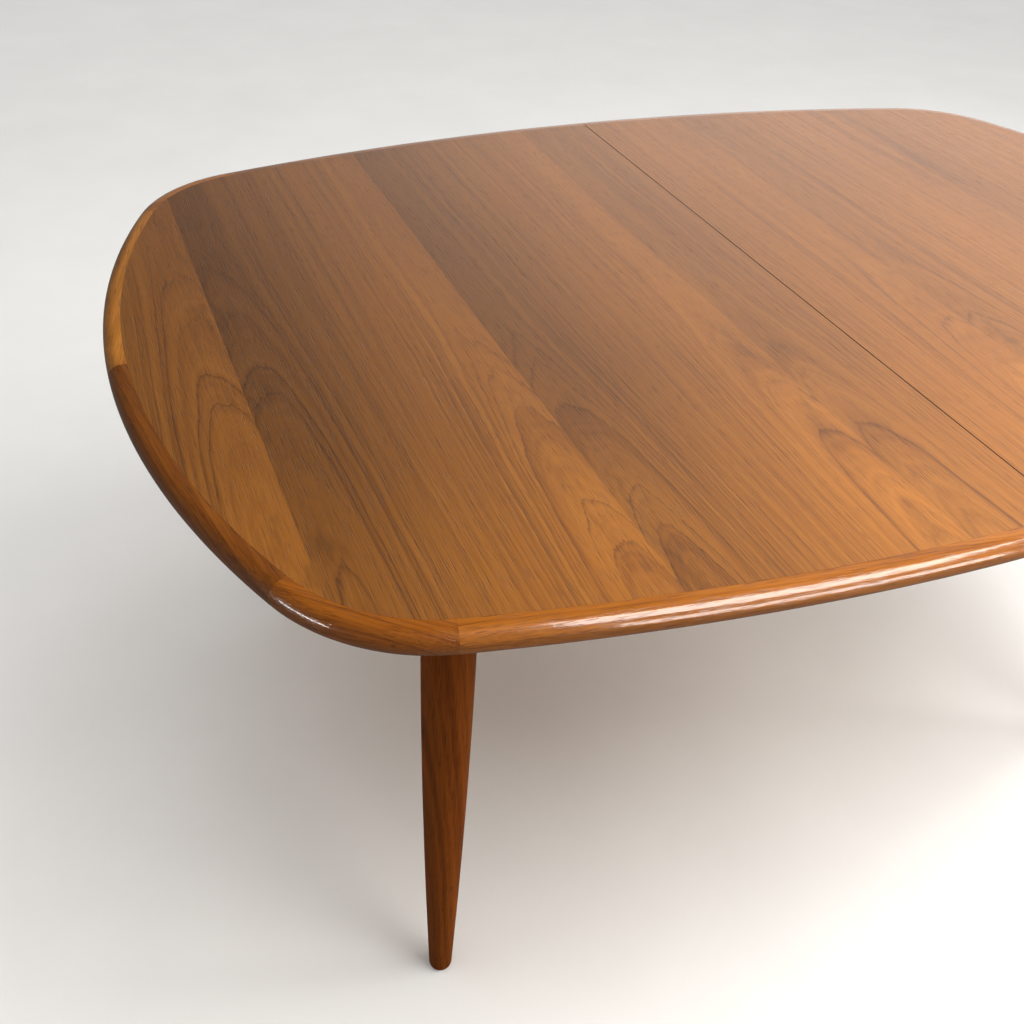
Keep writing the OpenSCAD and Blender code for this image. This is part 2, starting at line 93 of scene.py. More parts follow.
SIDE_RADIUS = bow_radius(HALF_LENGTH, SIDE_BOW)
END_RADIUS = bow_radius(HALF_WIDTH, END_BOW)
SIDE_CENTRE = Vector((0, HALF_WIDTH - SIDE_RADIUS))
END_CENTRE = Vector((HALF_LENGTH - END_RADIUS, 0))


def corner_centre():
    """Centre of the corner arc, which touches the side arc and the end arc from inside."""
    to_side, to_end = SIDE_RADIUS - CORNER_RADIUS, END_RADIUS - CORNER_RADIUS
    between = END_CENTRE - SIDE_CENTRE
    along = (to_side ** 2 - to_end ** 2 + between.length_squared) / (2 * between.length)
    across = math.sqrt(to_side ** 2 - along ** 2)
    square = Vector((between.y, -between.x))
    return SIDE_CENTRE + (along * between + across * square) / between.length


CORNER_CENTRE = corner_centre()
SIDE_ANGLE = math.atan2(CORNER_CENTRE.y - SIDE_CENTRE.y, CORNER_CENTRE.x - SIDE_CENTRE.x)
END_ANGLE = math.atan2(CORNER_CENTRE.y - END_CENTRE.y, CORNER_CENTRE.x - END_CENTRE.x)
# Each stretch of the edge: centre, radius, first and last angle, in the far right quarter
STRETCHES = {
    "side": (SIDE_CENTRE, SIDE_RADIUS, SIDE_ANGLE, math.acos(HALF_SEAM / SIDE_RADIUS)),
    "corner": (CORNER_CENTRE, CORNER_RADIUS, END_ANGLE, SIDE_ANGLE),
    "end": (END_CENTRE, END_RADIUS, 0.0, END_ANGLE),
}


def on_arc(centre, radius, angle):
    return centre + radius * Vector((math.cos(angle), math.sin(angle)))


# ---------------------------------------------------------------- mesh helpers
def new_piece(name, body, stands_for, bm, material, smooth_angle=40):
    """Turns a bmesh into a piece that rides on a body and stands for one CAD node."""
    bmesh.ops.recalc_face_normals(bm, faces=bm.faces)
    limit = math.radians(smooth_angle)
    for edge in bm.edges:
        edge.smooth = len(edge.link_faces) == 2 and edge.calc_face_angle(0) < limit
    for face in bm.faces:
        face.smooth = True
    mesh = bpy.data.meshes.new(name)
    bm.to_mesh(mesh)
    bm.free()
    piece = bpy.data.objects.new(name, mesh)
    bpy.context.scene.collection.objects.link(piece)
    mesh.materials.append(material)
    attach(piece, body)
    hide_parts(stands_for)
    return piece


def loft(bm, rings):
    """Joins rings of equally many points into one skin and caps both ends."""
    rows = [[bm.verts.new(point) for point in ring] for ring in rings]
    count = len(rows[0])
    for lower, upper in zip(rows, rows[1:]):
        for i in range(count):
            j = (i + 1) % count
            bm.faces.new((lower[i], lower[j], upper[j], upper[i]))
    bm.faces.new(rows[0][::-1])
    bm.faces.new(rows[-1])


# ---------------------------------------------------------------- edge lipping
ROUND_STEPS = 14
BEND_LENGTH = 0.008
FEWEST_BENDS = 24


def lipping_section():
    """Points of the lipping's section as (distance in from the edge, height), round the outline."""
    depth = UPPER_ROUND + LOWER_ROUND
    points = [(LIP_WIDTH, 0.0)]
    for i in range(ROUND_STEPS + 1):
        turn = math.pi / 2 * i / ROUND_STEPS
        points.append((UPPER_ROUND * (1 - math.sin(turn)), -UPPER_ROUND * (1 - math.cos(turn))))
    for i in range(1, ROUND_STEPS + 1):
        turn = math.pi / 2 * i / ROUND_STEPS
        inward = LOWER_ROUND * (1 - math.cos(turn))
        points.append((inward, -UPPER_ROUND - LOWER_ROUND * math.sin(turn)))
    points.append((LIP_WIDTH, -depth))
    return points


def lipping(side_name, end_name, stretch, material):
    """One bent length of lipping, drawn in the far right quarter and mirrored into place."""
    centre, radius, start, stop = STRETCHES[stretch]
    trim = GLUE_LINE / 2 / radius
    start, stop = start + trim, stop - trim
    steps = max(FEWEST_BENDS, round((stop - start) * radius / BEND_LENGTH))
    section = lipping_section()
    rings = []
    for i in range(steps + 1):
        angle = start + (stop - start) * i / steps
        ring = []
        for inward, height in section:
            spot = on_arc(centre, radius - inward, angle)
            ring.append((spot.x * SIDES[side_name], spot.y * ENDS[end_name], TOP_Z + height))
        rings.append(ring)
    bm = bmesh.new()
    loft(bm, rings)
    node = f"{side_name}_{end_name}_{stretch}_lipping"
    return new_piece(node + "_skin", f"{side_name}_half", node, bm, material)


# ---------------------------------------------------------------- face veneer
OUTLINE_STEPS = 64
SAME_POINT = 1e-5


def half_outline(inset):
    """Outline of the right half inside a margin, anticlockwise from the near end of the seam."""
    quarter = []
    for centre, radius, start, stop in (STRETCHES["end"], STRETCHES["corner"], STRETCHES["side"]):
        if stop > SIDE_ANGLE:
            stop = math.acos(HALF_SEAM / (radius - inset))
        for i in range(OUTLINE_STEPS + 1):
            angle = start + (stop - start) * i / OUTLINE_STEPS
            quarter.append(on_arc(centre, radius - inset, angle))
    kept = [quarter[0]]
    for point in quarter[1:]:
        if (point - kept[-1]).length > SAME_POINT:
            kept.append(point)
    return [Vector((p.x, -p.y)) for p in kept[:0:-1]] + kept


def face_veneer(side_name, material):
    """The sanded and lacquered veneer of one half, with its edge along the seam eased."""
    flip = SIDES[side_name]
    outline = half_outline(LIP_WIDTH + GLUE_LINE)
    shoulder = SEAM_EASE * 0.3
    levels = [(TOP_Z - VENEER, 0.0), (TOP_Z - SEAM_EASE, 0.0), (TOP_Z - shoulder, shoulder),
              (TOP_Z, SEAM_EASE)]
    rings = []
    for z, ease in levels:
        rings.append([(max(p.x, HALF_SEAM + ease) * flip, p.y, z) for p in outline])
    bm = bmesh.new()
    loft(bm, rings)
    node = f"{side_name}_face_veneer"
    return new_piece(node + "_sheet", f"{side_name}_half", node, bm, material,
                     smooth_angle=20)


# ---------------------------------------------------------------- legs
LEG_TURNS = 96
TAPER_RINGS = 90
FOOT_RINGS = 6
TAPER_TOP = 0.580
TAPER_POWER = 1.65
FOOT_RADIUS = 0.014
FOOT_ROUND = 0.005


def leg(side_name, end_name, material):
    """Turned leg: round at the top but for the two flats that the aprons meet, then a taper."""
    node = f"{side_name}_{end_name}_leg"
    low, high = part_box(node)
    axis_x, axis_y = (low.x + high.x) / 2, (low.y + high.y) / 2
    radius = (high.x - low.x) / 2
    apron_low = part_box(f"{side_name}_end_apron")[0].z
    side_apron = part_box(f"{side_name}_{end_name}_side_apron")
    flat = abs(side_apron[0 if side_name == "left" else 1].x - axis_x)
    inward_x, inward_y = -SIDES[side_name], -ENDS[end_name]

    def radius_at(z):
        if z >= TAPER_TOP:
            return radius
        down = (TAPER_TOP - z) / (TAPER_TOP - low.z)
        return radius - (radius - FOOT_RADIUS) * down ** TAPER_POWER

    heights = [low.z + (apron_low - low.z) * i / TAPER_RINGS for i in range(TAPER_RINGS + 1)]
    # Each ring: radius, height, and whether the flats cut it
    rings = []
    for i in range(FOOT_RINGS + 1):
        turn = math.pi / 2 * i / FOOT_RINGS
        shrink = FOOT_ROUND * (1 - math.sin(turn))
        z = low.z + FOOT_ROUND * (1 - math.cos(turn))
        rings.append((radius_at(z) - shrink, z, False))
    rings += [(radius_at(z), z, False) for z in heights if z > low.z + FOOT_ROUND * 1.2]
    rings += [(radius, apron_low, True), (radius, high.z, True)]
    bm = bmesh.new()
    rows = []
    for r, z, has_flats in rings:
        row = []
        for i in range(LEG_TURNS):
            turn = 2 * math.pi * i / LEG_TURNS
            x, y = r * math.cos(turn), r * math.sin(turn)
            if has_flats:
                x = min(x * inward_x, flat) * inward_x
                y = min(y * inward_y, flat) * inward_y
            row.append((axis_x + x, axis_y + y, z))
        rows.append(row)
    loft(bm, rows)
    return new_piece(node + "_turned", f"{side_name}_half", node, bm, material,
                     smooth_angle=50)


# ---------------------------------------------------------------- materials
# Teak, as linear colours
TEAK_LIGHT = (0.40, 0.147, 0.019)
TEAK_MID = (0.285, 0.098, 0.011)
TEAK_DARK = (0.160, 0.049, 0.006)
TEAK_LINE = (0.070, 0.021, 0.005)
# Light and dark tone of the other timbers and of the metals
BEECH = (0.74, 0.49, 0.27), (0.56, 0.34, 0.17)
BACKING = (0.54, 0.30, 0.13), (0.38, 0.19, 0.075)
ZINC = (0.62, 0.62, 0.61), (0.40, 0.40, 0.42)
BRASS = (0.72, 0.50, 0.18), (0.42, 0.27, 0.09)
# Height of the relief of each surface, in metres
TEAK_RELIEF = 0.00012
PLANED_RELIEF = 0.00015
CHIP_RELIEF = 0.0003
METAL_RELIEF = 0.00004
NYLON_RELIEF = 0.0001
# How much of the grain's relief is left on top of the lacquer
COAT_LEVELLING = 0.60
# Specular level, coat weight and coat roughness of the lacquered rim and of the oiled frame
RIM_GLOSS = (0.14, 1.0, 0.065)
LEG_GLOSS = (0.06, 0.04, 0.24)
BARE_SPECULAR = 0.16
# How often streaks and pores repeat in a metre, across the grain and along it
STREAKS_PER_METRE = (640, 9)
PORES_PER_METRE = (1050, 42)
# Distance between growth rings, in metres
VENEER_RINGS = 0.0062
SOLID_RINGS = 0.0042
# How far the rings sway from a clean curve, from end to end
RING_SWAY = 0.012


def colour(rgb):
    return (*rgb, 1.0)


class Graph:
    """Builds one procedural material step by step. Each step returns its output socket.
    Places come from object coordinates, which are metres in the table's own frame."""

    def __init__(self, name):
        self.material = bpy.data.materials.new(name)
        self.material.use_nodes = True
        self.nodes = self.material.node_tree.nodes
        self.links = self.material.node_tree.links
        self.nodes.clear()
        place = self.add("ShaderNodeTexCoord").outputs["Object"]
        split = self.add("ShaderNodeSeparateXYZ")
        self.links.new(place, split.inputs[0])
        self.x, self.y, self.z = split.outputs

    def add(self, kind, **settings):
        node = self.nodes.new(kind)
        for key, value in settings.items():
            setattr(node, key, value)
        return node

    def plug(self, socket, value):
        if isinstance(value, bpy.types.NodeSocket):
            self.links.new(value, socket)
        else:
            socket.default_value = value

    def math(self, operation, *values):
        node = self.add("ShaderNodeMath", operation=operation)
        for socket, value in zip(node.inputs, values):
            self.plug(socket, value)
        return node.outputs[0]

    def sum(self, *values):
        total = values[0]
        for value in values[1:]:
            total = self.math("ADD", total, value)
        return total

    def times(self, *values):
        total = values[0]
        for value in values[1:]:
            total = self.math("MULTIPLY", total, value)
        return total

    def vector(self, x, y, z):
        node = self.add("ShaderNodeCombineXYZ")
        for socket, value in zip(node.inputs, (x, y, z)):
            self.plug(socket, value)
        return node.outputs[0]

    def scaled(self, per_x, per_y, per_z):
        """Object coordinates, with so many repeats in a metre along each axis."""
        return self.vector(self.times(self.x, per_x), self.times(self.y, per_y),
                           self.times(self.z, per_z))

    def grain(self, across, along, depth, per_across, per_along):
        """A point in the wood, with so many repeats in a metre across the grain and along it."""
        return self.vector(self.times(across, per_across), self.times(along, per_along),
                           self.times(depth, per_across))

    def noise(self, vector, detail=2.0, roughness=0.5):
        node = self.add("ShaderNodeTexNoise")
        self.plug(node.inputs["Vector"], vector)
        self.plug(node.inputs["Scale"], 1.0)
        self.plug(node.inputs["Detail"], detail)
        self.plug(node.inputs["Roughness"], roughness)
        return node.outputs["Fac"]

    def sway(self, noise, reach):
        """Turns a noise into a shift to either side, with reach from end to end."""
        return self.times(self.math("SUBTRACT", noise, 0.5), reach)

    def random(self, value):
        node = self.add("ShaderNodeTexWhiteNoise", noise_dimensions="1D")
        self.plug(node.inputs["W"], value)
        return node.outputs["Value"]

    def smooth(self, value, low, high, to_low=0.0, to_high=1.0):
        node = self.add("ShaderNodeMapRange", interpolation_type="SMOOTHSTEP")
        for socket, item in zip(node.inputs, (value, low, high, to_low, to_high)):
            self.plug(socket, item)
        return node.outputs[0]

    def blend(self, share, first, second, mode="MIX"):
        """Mixes two colours. They are inputs 6 and 7 of the Mix node, and output 2."""
        node = self.add("ShaderNodeMix", data_type="RGBA", blend_type=mode)
        self.plug(node.inputs[0], share)
        self.plug(node.inputs[6], first)
        self.plug(node.inputs[7], second)
        return node.outputs[2]

    def ramp(self, value, *stops):
        node = self.add("ShaderNodeValToRGB")
        elements = node.color_ramp.elements
        elements[0].position, elements[1].position = stops[0][0], stops[-1][0]
        elements[0].color, elements[1].color = colour(stops[0][1]), colour(stops[-1][1])
        for place, shade in stops[1:-1]:
            elements.new(place).color = colour(shade)
        self.plug(node.inputs[0], value)
        return node.outputs[0]

    def scale_colour(self, shade, factor):
        """Multiplies a colour by a number."""
        node = self.add("ShaderNodeVectorMath", operation="SCALE")
        self.plug(node.inputs[0], shade)
        self.plug(node.inputs["Scale"], factor)
        return node.outputs[0]

    def bump(self, normal, height, relief):
        node = self.add("ShaderNodeBump")
        node.inputs["Strength"].default_value = 1.0
        node.inputs["Distance"].default_value = relief
        self.plug(node.inputs["Height"], height)
        self.links.new(node.outputs[0], normal)

    def finish(self, shade, roughness, height=None, relief=0.0, **fixed):
        """Surface from a colour, a roughness and a height field. fixed holds the sockets that are
        uniform, in lower case, such as coat_weight."""
        surface = self.add("ShaderNodeBsdfPrincipled")
        self.plug(surface.inputs["Base Color"], shade)
        self.plug(surface.inputs["Roughness"], roughness)
        for key, value in fixed.items():
            socket = key.replace("_", " ").title().replace("Ior", "IOR")
            surface.inputs[socket].default_value = value
        if height is not None:
            self.bump(surface.inputs["Normal"], height, relief)
            if fixed.get("coat_weight"):
                self.bump(surface.inputs["Coat Normal"], height, relief * COAT_LEVELLING)
        output = self.add("ShaderNodeOutputMaterial")
        self.links.new(surface.outputs[0], output.inputs[0])
        return self.material


def fibres(g, across, along, depth):
    """Fine streaks and pores along the grain, each from 0 to 1."""
    streaks = g.noise(g.grain(across, along, depth, *STREAKS_PER_METRE), 3, 0.75)
    pores = g.noise(g.grain(across, along, depth, *PORES_PER_METRE), 1, 0.5)
    return streaks, g.smooth(pores, 0.55, 0.72)


def growth_rings(g, radius, spacing, seed, sharpness=8.0):
    """Rings of uneven strength: each fades in slowly and ends in a sharp dark line."""
    drift = g.noise(g.vector(g.times(radius, 55), seed, 0.0), 2)
    phase = g.sum(g.times(radius, 1 / spacing), g.times(drift, 2.4))
    ring = g.math("FLOOR", phase)
    saw = g.math("FRACT", phase)
    strength = g.smooth(g.random(g.sum(ring, g.times(seed, 3.7))), 0.25, 0.85)
    rise = g.math("POWER", saw, sharpness)
    fall = g.smooth(saw, 0.96, 1.0, 1.0, 0.0)
    return g.times(rise, fall, strength)


# Shape of the cathedral arches: how much narrower than round they are, how square-shouldered,
# and how far the heart of the log lies from the joint that mirrors them
ASPECT = 1.5
SQUARENESS = 2.6
HEART_OFFSET = 0.022


def teak_veneer():
    """Book-matched leaves across the table, with cathedrals that mirror about every other joint."""
    g = Graph("teak_veneer")
    from_axis = g.math("SUBTRACT", g.x, FIRST_JOINT + LEAF_WIDTH)
    across = g.math("PINGPONG", from_axis, LEAF_WIDTH)
    pair = g.math("FLOOR", g.times(g.math("SUBTRACT", g.x, FIRST_JOINT), 0.5 / LEAF_WIDTH))
    leaf = g.math("FLOOR", g.times(g.math("SUBTRACT", g.x, FIRST_JOINT), 1 / LEAF_WIDTH))
    seed = g.times(g.sum(pair, 0.37), 1.618)
    lone = g.times(leaf, 2.71)

    # How deep the slice lies over the heart of the log: it comes closer towards the near side,
    # which closes the rings into arches there and leaves them straight over the rest
    later = g.smooth(g.x, -0.62, -0.44, -0.12, 0.13)
    depth = g.smooth(g.sum(g.y, later), -0.62, 0.14, 0.030, 0.088)
    warp = g.noise(g.vector(g.times(across, 12), g.times(g.y, 2.4), seed), 3, 0.5)
    bend = g.sway(warp, RING_SWAY)
    wobble = g.noise(g.vector(g.times(g.x, 48), g.times(g.y, 7), lone), 2, 0.5)
    jag = g.noise(g.vector(g.times(g.x, 430), g.times(g.y, 24), lone), 2, 0.6)
    teeth = g.sum(g.sway(jag, 0.0020), g.sway(wobble, 0.0045))
    depth = g.sum(depth, bend)
    aside = g.times(g.math("ABSOLUTE", g.sum(across, -HEART_OFFSET, g.times(bend, 0.5))), ASPECT)
    squared = g.sum(g.math("POWER", aside, SQUARENESS), g.math("POWER", depth, SQUARENESS))
    radius = g.math("POWER", squared, 1 / SQUARENESS)
    # Lines are about as thick at an arch, where the rings lie flat, as along its sides
    steepness = g.math("POWER", g.math("DIVIDE", aside, radius), 2.0)
    sharpness = g.math("DIVIDE", 4.0, g.sum(g.times(steepness, 1.3), 0.30))
    radius = g.sum(radius, teeth)
    rings = growth_rings(g, radius, VENEER_RINGS, seed, sharpness)
    bands = g.noise(g.vector(g.times(radius, 120), seed, g.times(g.y, 0.7)), 2, 0.5)
    fine = g.noise(g.vector(g.times(radius, 460), seed, g.times(g.y, 1.5)), 3, 0.7)

    # Painted shade: the tone rises from one cathedral joint to the next and drops there, as the
    # leaves catch the light in turn, most of all on the left, where the top is darker
    past_joint = g.math("SUBTRACT", g.x, FIRST_JOINT + LEAF_WIDTH)
    rise = g.math("FRACT", g.times(past_joint, 0.5 / LEAF_WIDTH))
    shadow = g.times(g.smooth(rise, 0.12, 0.88, 1.0, 0.0), g.smooth(g.x, -0.50, 0.10, 0.36, 0.15))

    streaks, pores = fibres(g, g.x, g.y, lone)
    shade = g.ramp(g.sum(g.times(bands, 0.32), g.times(fine, 0.30), g.times(streaks, 0.38)),
                   (0.32, TEAK_DARK), (0.48, TEAK_MID), (0.68, TEAK_LIGHT))
    # The figure is strongest towards the near side, where the slices run flattest
    near_arches = g.smooth(g.sum(g.y, later), 0.26, -0.08, 0.20, 1.0)
    figure = g.times(near_arches, g.smooth(across, 0.050, 0.125, 1.0, 0.28))
    broken = g.smooth(wobble, 0.34, 0.56, 0.55, 1.0)
    shade = g.blend(g.times(rings, figure, broken), shade, colour(TEAK_LINE))
    smudge = g.noise(g.vector(g.times(g.x, 42), g.times(g.y, 13), lone), 3, 0.6)
    smudge = g.times(g.smooth(smudge, 0.52, 0.70), g.smooth(across, 0.0, 0.055, 0.34, 0.0),
                     near_arches)
    shade = g.scale_colour(shade, g.math("SUBTRACT", 1.0, smudge))
    shade = g.blend(g.times(pores, 0.34), shade, colour(TEAK_LINE))

    # Painted light: the top is lighter towards the near side, the far side and the right, where
    # more light falls; the cloud is the wood's own uneven tone
    cloud = g.noise(g.vector(g.times(g.x, 6), g.times(g.y, 2.4), 0.3), 2)
    near = g.smooth(g.y, -0.14, -0.50, 0.0, 0.34)
    far = g.smooth(g.y, 0.10, 0.50, 0.0, 0.14)
    painted_light_rightward = g.smooth(g.x, -0.75, 0.45, 0.0, 0.24)
    tone = g.math("SUBTRACT", g.sum(0.80, painted_light_rightward, g.times(cloud, 0.20), near, far), shadow)
    shade = g.scale_colour(shade, tone)
    # Painted shade: the veneer darkens along the eased edges of the seam, where the groove between
    # the halves lies in shade
    shade = g.scale_colour(shade, g.smooth(g.math("ABSOLUTE", g.x), 0.0005, 0.0013, 0.30, 1.0))

    sheen = g.smooth(g.sum(g.times(streaks, 0.7), g.times(pores, 0.3)), 0.2, 0.8, 0.36, 0.50)
    height = g.math("SUBTRACT", g.times(streaks, 0.35), g.times(pores, 0.8))
    return g.finish(shade, sheen, height, TEAK_RELIEF, coat_weight=0.35, coat_roughness=0.24)


def solid_teak(name, grain_angle, pith, tone, gloss, upright=False, lean=0.03, line_strength=0.85):
    """Solid teak. grain_angle turns the grain about Z from +X; upright puts it along Z instead.
    pith is where the heart of the log runs, across the grain, as seen in section. lean is its
    slope to the piece, which draws the rings out into long arches."""
    g = Graph(name)
    if upright:
        across, along, depth = g.x, g.z, g.y
    else:
        c, s = math.cos(grain_angle), math.sin(grain_angle)
        along = g.sum(g.times(g.x, c), g.times(g.y, s))
        across = g.math("SUBTRACT", g.times(g.y, c), g.times(g.x, s))
        depth = g.z
    warp = g.noise(g.grain(across, along, depth, 16, 3.0), 3, 0.5)
    bend = g.sway(warp, RING_SWAY)
    far_x = g.sum(g.math("SUBTRACT", across, pith[0]), bend, g.times(along, lean))
    far_y = g.sum(g.math("SUBTRACT", depth, pith[1]), g.times(along, lean))
    radius = g.math("SQRT", g.sum(g.times(far_x, far_x), g.times(far_y, far_y)))
    seed = g.math("ADD", pith[0] * 10, 0.5)
    rings = growth_rings(g, radius, SOLID_RINGS, seed)
    bands = g.noise(g.vector(g.times(radius, 190), seed, g.times(along, 0.8)), 2, 0.5)
    streaks, pores = fibres(g, across, along, depth)
    shade = g.ramp(g.sum(g.times(bands, 0.5), g.times(streaks, 0.5)),
                   (0.34, TEAK_DARK), (0.50, TEAK_MID), (0.68, TEAK_LIGHT))
    shade = g.blend(g.times(rings, line_strength), shade, colour(TEAK_LINE))
    shade = g.blend(g.times(pores, 0.5), shade, colour(TEAK_LINE))
    shade = g.blend(1.0, shade, colour(tone), "MULTIPLY")
    height = g.math("SUBTRACT", g.times(streaks, 0.35), g.times(pores, 0.8))
    sheen = g.smooth(streaks, 0.2, 0.8, 0.33, 0.46)
    specular, coat, coat_roughness = gloss
    return g.finish(shade, sheen, height, TEAK_RELIEF, specular_ior_level=specular,
                    coat_weight=coat, coat_roughness=coat_roughness)


def plain_wood(name, light, dark, grain_along_x=True):
    """Unlacquered planed timber with a fine even grain."""
    g = Graph(name)
    along, across = (g.x, g.y) if grain_along_x else (g.y, g.x)
    streaks, pores = fibres(g, across, along, g.z)
    broad = g.noise(g.grain(across, along, g.z, 60, 2.5), 3, 0.6)
    shade = g.ramp(g.sum(g.times(broad, 0.6), g.times(streaks, 0.4)), (0.3, dark), (0.7, light))
    shade = g.blend(g.times(pores, 0.35), shade, colour(tuple(c * 0.45 for c in dark)))
    height = g.math("SUBTRACT", streaks, pores)
    rough = g.smooth(streaks, 0.2, 0.8, 0.50, 0.68)
    return g.finish(shade, rough, height, PLANED_RELIEF, specular_ior_level=BARE_SPECULAR)


def particle_board():
    """Pressed wood chips, which show only at the edges of the core."""
    g = Graph("particle_board")
    cells = g.add("ShaderNodeTexVoronoi")
    g.plug(cells.inputs["Vector"], g.scaled(260, 260, 700))
    cells.inputs["Scale"].default_value = 1.0
    chips = g.math("FRACT", g.times(cells.outputs["Color"], 3.0))
    shade = g.ramp(chips, (0.0, (0.30, 0.19, 0.09)), (0.5, (0.50, 0.35, 0.19)),
                   (1.0, (0.66, 0.50, 0.31)))
    return g.finish(shade, 0.85, cells.outputs["Distance"], CHIP_RELIEF)


def metal(name, light, dark, roughness):
    """Plated or bare metal with fine turning marks and a little tarnish."""
    g = Graph(name)
    marks = g.noise(g.scaled(900, 900, 2500), 2, 0.6)
    stain = g.noise(g.scaled(90, 90, 90), 4, 0.6)
    shade = g.ramp(g.sum(g.times(marks, 0.3), g.times(stain, 0.7)), (0.3, dark), (0.65, light))
    rough = g.smooth(stain, 0.3, 0.7, roughness * 1.5, roughness)
    return g.finish(shade, rough, marks, METAL_RELIEF, metallic=1.0)


def nylon():
    """Off-white plastic of the glides, scuffed by the floor."""
    g = Graph("nylon")
    scuff = g.noise(g.scaled(300, 300, 300), 4, 0.6)
    shade = g.ramp(scuff, (0.3, (0.50, 0.46, 0.38)), (0.6, (0.74, 0.71, 0.63)))
    return g.finish(shade, g.smooth(scuff, 0.3, 0.7, 0.6, 0.4), scuff, NYLON_RELIEF)


# ---------------------------------------------------------------- build the visible pieces
def chord_angle(stretch, side, end):
    """Direction of the chord of a stretch of lipping, which is how its grain runs."""
    centre, radius, start, stop = STRETCHES[stretch]
    chord = on_arc(centre, radius, stop) - on_arc(centre, radius, start)
    return math.atan2(chord.y * end, chord.x * side)


def middle_of(stretch, side, end):
    """Middle of the edge of a stretch of lipping."""
    centre, radius, start, stop = STRETCHES[stretch]
    spot = on_arc(centre, radius, (start + stop) / 2)
    return Vector((spot.x * side, spot.y * end))


# Tone of each length of lipping that the photo shows, and of the rest
# Partly each length's own tone and partly painted light: the far end and far corner are lighter and
# whiter, a painted sheen, and the near corner and near end are darker, painted shade
LIPPING_TONE_AND_PAINTED_LIGHT = {
    ("left", "near", "side"): (1.42, 1.28, 1.02),
    ("left", "near", "corner"): (1.03, 0.84, 0.50),
    ("left", "near", "end"): (0.80, 0.66, 0.45),
    ("left", "far", "end"): (1.80, 1.92, 2.10),
    ("left", "far", "corner"): (1.45, 1.40, 1.60),
}
PLAIN_TONE = (1.25, 1.18, 1.08)
LEG_TONE = (0.90, 0.63, 0.28)

rim = []
for side_name, side in SIDES.items():
    for end_name, end in ENDS.items():
        for stretch in STRETCHES:
            angle = chord_angle(stretch, side, end)
            middle = middle_of(stretch, side, end)
            across = middle.y * math.cos(angle) - middle.x * math.sin(angle)
            heart = (across - 0.05, TOP_Z - 0.07)
            tone = LIPPING_TONE_AND_PAINTED_LIGHT.get((side_name, end_name, stretch), PLAIN_TONE)
            name = f"teak_{side_name}_{end_name}_{stretch}"
            wood = solid_teak(name, angle, heart, tone, RIM_GLOSS)
            rim.append(lipping(side_name, end_name, stretch, wood))

veneer = teak_veneer()
for side_name in SIDES:
    face_veneer(side_name, veneer)

for side_name, side in SIDES.items():
    for end_name, end in ENDS.items():
        low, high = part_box(f"{side_name}_{end_name}_leg")
        heart = ((low.x + high.x) / 2 + 0.07 * side, (low.y + high.y) / 2 - 0.03 * end)
        wood = solid_teak(f"teak_{side_name}_{end_name}_leg", 0, heart, LEG_TONE, LEG_GLOSS,
                          upright=True, lean=0.09, line_strength=0.6)
        leg(side_name, end_name, wood)

# ---------------------------------------------------------------- CAD nodes that keep their shape
beech_x = plain_wood("beech_along_x", *BEECH)
beech_y = plain_wood("beech_along_y", *BEECH, grain_along_x=False)
backing = plain_wood("backing_veneer", *BACKING, grain_along_x=False)
steel = metal("zinc_plate", *ZINC, roughness=0.32)
brass = metal("brass", *BRASS, roughness=0.30)
apron_x = solid_teak("teak_apron_along_x", 0, (0.30, 0.60), LEG_TONE, LEG_GLOSS)
apron_y = solid_teak("teak_apron_along_y", math.pi / 2, (-0.45, 0.60), LEG_TONE, LEG_GLOSS)
edging = solid_teak("teak_seam_edging", math.pi / 2, (0.05, 0.65), PLAIN_TONE, RIM_GLOSS)
board = particle_board()
glide = nylon()

# Names without the half they belong to
MATERIAL_OF = {
    "core_board": board, "back_veneer": backing, "seam_edging": edging,
    "near_side_apron": apron_x, "far_side_apron": apron_x, "end_apron": apron_y,
    "foot_glides": glide, "corner_blocks": beech_y, "leg_bolts": steel, "leg_nuts": steel,
    "glue_blocks": beech_x, "frame_screws": steel, "slide_packers": beech_x, "slide_screws": steel,
    "near_slide_rail": beech_x, "far_slide_rail": beech_x,
    "near_middle_rail": beech_x, "far_middle_rail": beech_x,
    "near_stop_pins": steel, "far_stop_pins": steel, "seam_dowels": beech_x,
    "near_catch_lever": brass, "far_catch_lever": brass,
    "catch_pivot_screws": brass, "catch_keeper_screws": brass,
}

# Width of the broken edge that sanding or plating leaves, in metres
BROKEN_EDGE = {
    "near_side_apron": 0.0010, "far_side_apron": 0.0010, "end_apron": 0.0010,
    "corner_blocks": 0.0012, "glue_blocks": 0.0010, "slide_packers": 0.0008,
    "near_slide_rail": 0.0012, "far_slide_rail": 0.0012,
    "near_middle_rail": 0.0012, "far_middle_rail": 0.0012, "seam_dowels": 0.0006,
    "near_catch_lever": 0.0004, "far_catch_lever": 0.0004,
}


def break_edges(node, width):
    """Merges a CAD mesh's flat triangles into whole faces and rounds the edges between them."""
    flatten = node.modifiers.new("flatten", "DECIMATE")
    flatten.decimate_type = "DISSOLVE"
    flatten.angle_limit = math.radians(1)
    bevel = node.modifiers.new("broken_edge", "BEVEL")
    bevel.width = width
    bevel.segments = 2
    bevel.limit_method = "ANGLE"
    bevel.angle_limit = math.radians(40)


for name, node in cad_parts.items():
    if node.hide_render:
        continue
    plain = name.removeprefix("left_").removeprefix("right_")
    node.data.materials.clear()
    node.data.materials.append(MATERIAL_OF[plain])
    if plain in BROKEN_EDGE:
        break_edges(node, BROKEN_EDGE[plain])

# ---------------------------------------------------------------- studio
FLOOR_RADIUS = 12.0
# A hair above the soles of the feet, so that no two faces lie in one plane
FLOOR_Z = 0.0003
